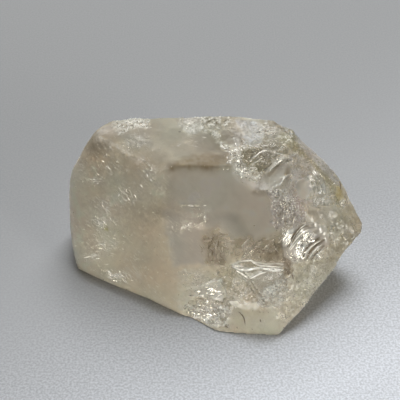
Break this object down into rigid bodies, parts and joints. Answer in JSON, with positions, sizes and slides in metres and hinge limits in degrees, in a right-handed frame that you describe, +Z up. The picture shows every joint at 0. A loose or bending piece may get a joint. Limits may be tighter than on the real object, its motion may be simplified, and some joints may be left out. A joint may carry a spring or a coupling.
{
  "type": "topaz crystal",
  "caption": "Rough topaz crystal, one end worn round and hazy, the other broken to a tip with shell-shaped scars, lying on a flat cleavage break with a clear window above a stepped foot.",
  "frame": {"origin": "on the resting face, under the middle of the crystal's box", "axes": "+X along the crystal from the worn end to the broken tip, +Z up from the resting face, -Y towards the clear window and the foot"},
  "size_m": [0.0534, 0.0348, 0.0248],
  "materials": {
    "topaz": "rough natural topaz, pale sherry to champagne, hazy with veils, glassy in the breaks and satin on the worn end"
  },
  "bodies": {
    "root": {"topaz_crystal": "topaz"}
  },
  "joints": []
}
